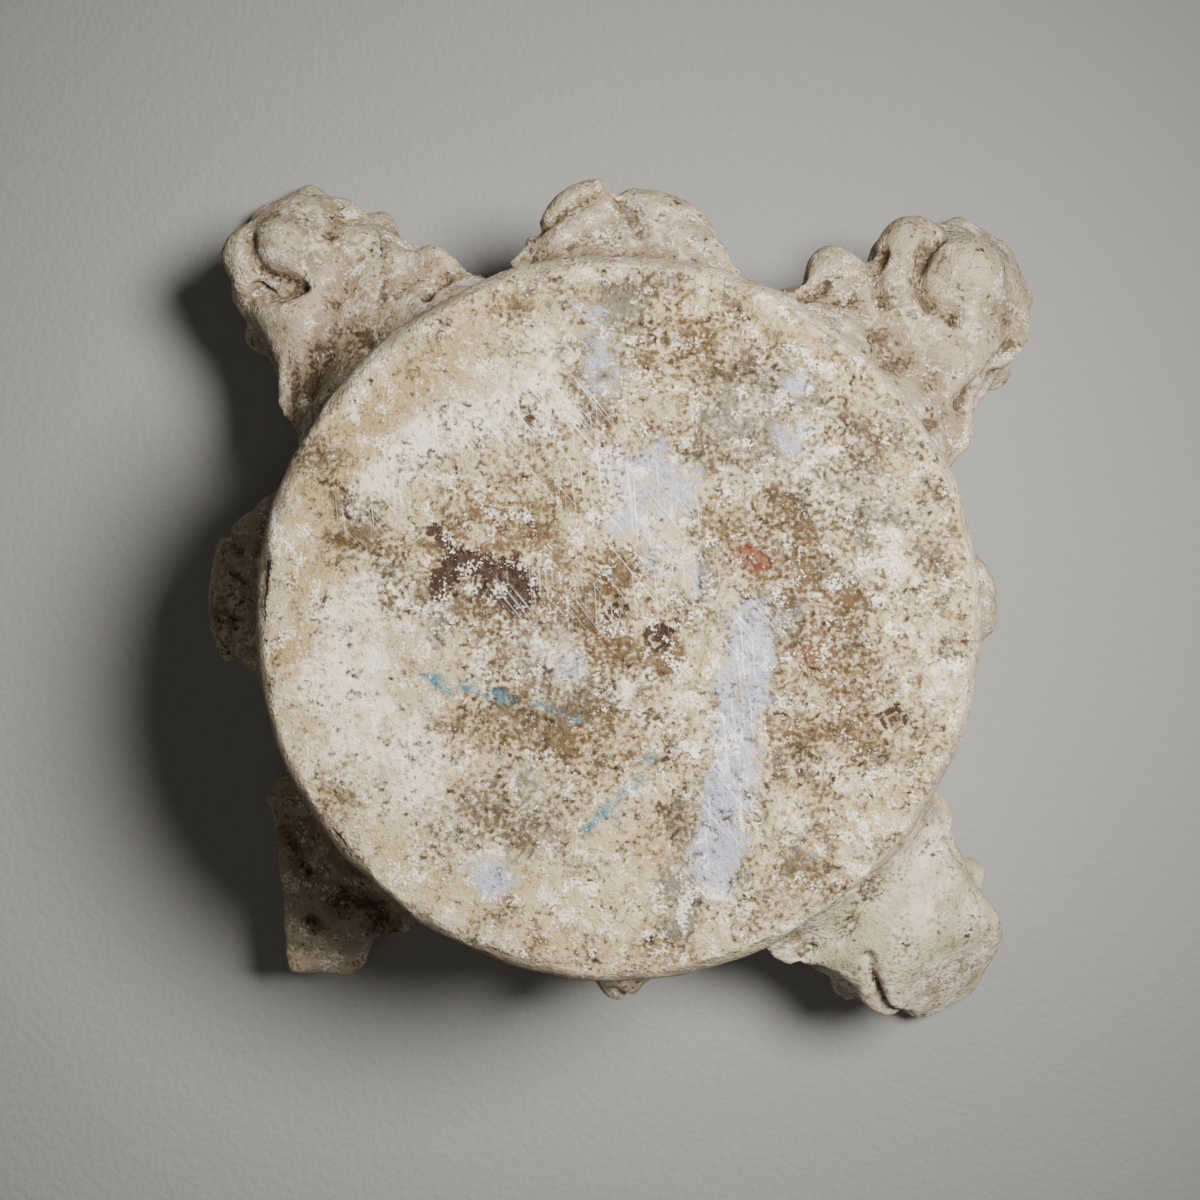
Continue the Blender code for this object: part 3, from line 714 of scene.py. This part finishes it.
def weathered_marble():
    """Marble, sawn and chiselled, then long in the ground: sugary white crystal that shows
    where it is scraped, under a cream and honey skin, with painted shade darkening every hollow."""
    made = bpy.data.materials.new("weathered_marble")
    made.use_nodes = True
    tree = made.node_tree
    shader = tree.nodes["Principled BSDF"]
    coords = add(tree, "ShaderNodeTexCoord")["Object"]
    base = linear("#b8a986")
    clouds = {}
    for name, colour, _, fine_mm, begins, full, cover in LAYERS:
        if fine_mm not in clouds:
            clouds[fine_mm] = add(tree, "ShaderNodeTexNoise", {"Vector": coords, "Detail": 2.0,
                                                               "Scale": 1 / (fine_mm * MM)})["Fac"]
        place = add(tree, "ShaderNodeAttribute", attribute_name=name)["Fac"]
        amount = add(tree, "ShaderNodeMath", {0: clouds[fine_mm], 1: FINE, 2: place},
                     operation="MULTIPLY_ADD")[0]
        amount = add(tree, "ShaderNodeMapRange", {0: amount, 1: begins + FINE / 2, 2: full + FINE / 2,
                                                  4: cover}, interpolation_type="SMOOTHSTEP")[0]
        base = add(tree, "ShaderNodeMix", {0: amount, 6: base, 7: linear(colour)}, data_type="RGBA")[2]

    # Fine straight scratches, in two directions, where the bed has been rubbed
    scratched = add(tree, "ShaderNodeAttribute", attribute_name="scratched")["Fac"]
    for degrees, length_mm in ((42, 34), (8, 22)):
        along = add(tree, "ShaderNodeMapping", {"Vector": coords,
                                                "Scale": (0.55 * MM, length_mm * MM, 1.0),
                                                "Rotation": (0, 0, math.radians(degrees))},
                    vector_type="TEXTURE")[0]
        line = add(tree, "ShaderNodeTexNoise", {"Vector": along, "Scale": 1.0, "Detail": 2.0})["Fac"]
        line = add(tree, "ShaderNodeMapRange", {0: line, 1: 0.61, 2: 0.70, 4: 0.80})[0]
        line = add(tree, "ShaderNodeMath", {0: line, 1: scratched}, operation="MULTIPLY")[0]
        base = add(tree, "ShaderNodeMix", {0: line, 6: base, 7: linear("#f8f5ef")}, data_type="RGBA")[2]
    tree.links.new(base, shader.inputs["Base Color"])
    shader.inputs["Roughness"].default_value = 0.72
    shader.inputs["IOR"].default_value = 1.49
    grain = add(tree, "ShaderNodeTexNoise", {"Vector": coords, "Scale": 1 / (0.8 * MM), "Detail": 2.0,
                                             "Roughness": 0.7})["Fac"]
    pocked = add(tree, "ShaderNodeTexNoise", {"Vector": coords, "Scale": 1 / (2.6 * MM), "Detail": 3.0,
                                              "Roughness": 0.7})["Fac"]
    rough = add(tree, "ShaderNodeMath", {0: grain, 1: 0.5, 2: pocked}, operation="MULTIPLY_ADD")[0]
    bump = add(tree, "ShaderNodeBump", {"Strength": 1.0, "Distance": 1.0 * MM, "Height": rough})[0]
    tree.links.new(bump, shader.inputs["Normal"])
    return made


def painted_floor():
    """Matt emulsion on board, rolled on: a pale grey with the roller's faint orange peel."""
    made = bpy.data.materials.new("matt_grey_paint")
    made.use_nodes = True
    tree = made.node_tree
    shader = tree.nodes["Principled BSDF"]
    coords = add(tree, "ShaderNodeTexCoord")["Object"]
    peel = add(tree, "ShaderNodeTexNoise", {"Vector": coords, "Scale": 1 / (2.6 * MM),
                                            "Detail": 3.0})["Fac"]
    bump = add(tree, "ShaderNodeBump", {"Strength": 0.8, "Distance": 0.7 * MM, "Height": peel})[0]
    tree.links.new(bump, shader.inputs["Normal"])
    shader.inputs["Base Color"].default_value = linear("#999b9d")
    shader.inputs["Roughness"].default_value = 0.9
    return made


def add_light(name, place, aim, size_mm, spread, power, tint):
    lamp = bpy.data.lights.new(name, "AREA")
    lamp.shape = "DISK"
    lamp.size = size_mm * MM
    lamp.spread = math.radians(spread)
    lamp.energy = power
    lamp.color = linear(tint)[:3]
    item = bpy.data.objects.new(name, lamp)
    bpy.context.collection.objects.link(item)
    item.location = Vector(place) * MM
    item.rotation_euler = (Vector(aim) - Vector(place)).to_track_quat("-Z", "Y").to_euler()


def add_stage():
    """Pale floor, a soft window light from the right and a weak fill."""
    bm = bmesh.new()
    bmesh.ops.create_grid(bm, x_segments=1, y_segments=1, size=1.5)
    floor = new_object("floor", bm)
    floor.data.materials.append(painted_floor())
    add_light("window", (235, 135, 760), (0, 0, 60), 210, 66, 1.70, "#fff9ee")
    add_light("overhead", (-20, -60, 1150), (0, 0, 60), 300, 60, 0.10, "#fff4e8")
    world = bpy.data.worlds.new("dim_room")
    world.use_nodes = True
    world.node_tree.nodes["Background"].inputs["Color"].default_value = linear("#8f8b85")
    world.node_tree.nodes["Background"].inputs["Strength"].default_value = 0.14
    bpy.context.scene.world = world


# The camera looked straight down from hand height, a little off the column's axis
CAMERA_PLACE = Vector((-4.0, 17.0, HEIGHT + 520.0))
CAMERA_ROLL = math.radians(2.8)
CAMERA_AIM = Vector((-4.95, 0.76, 0.0))
LENS = 62.7


def add_camera():
    """The camera, looking down with the picture's up turned a little from +Y."""
    lens = bpy.data.cameras.new("camera")
    lens.lens = LENS
    lens.sensor_width = 36.0
    camera = bpy.data.objects.new("camera", lens)
    bpy.context.collection.objects.link(camera)
    forward = (CAMERA_AIM - CAMERA_PLACE).normalized()
    up = Vector((-math.sin(CAMERA_ROLL), math.cos(CAMERA_ROLL), 0))
    right = forward.cross(up).normalized()
    up = right.cross(forward)
    camera.matrix_world = Matrix((right, up, -forward)).transposed().to_4x4()
    camera.location = CAMERA_PLACE * MM
    bpy.context.scene.camera = camera


capital = carved_capital()
stain(capital)
capital.data.materials.append(weathered_marble())
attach(capital, "root")
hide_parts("capital")
add_stage()
add_camera()
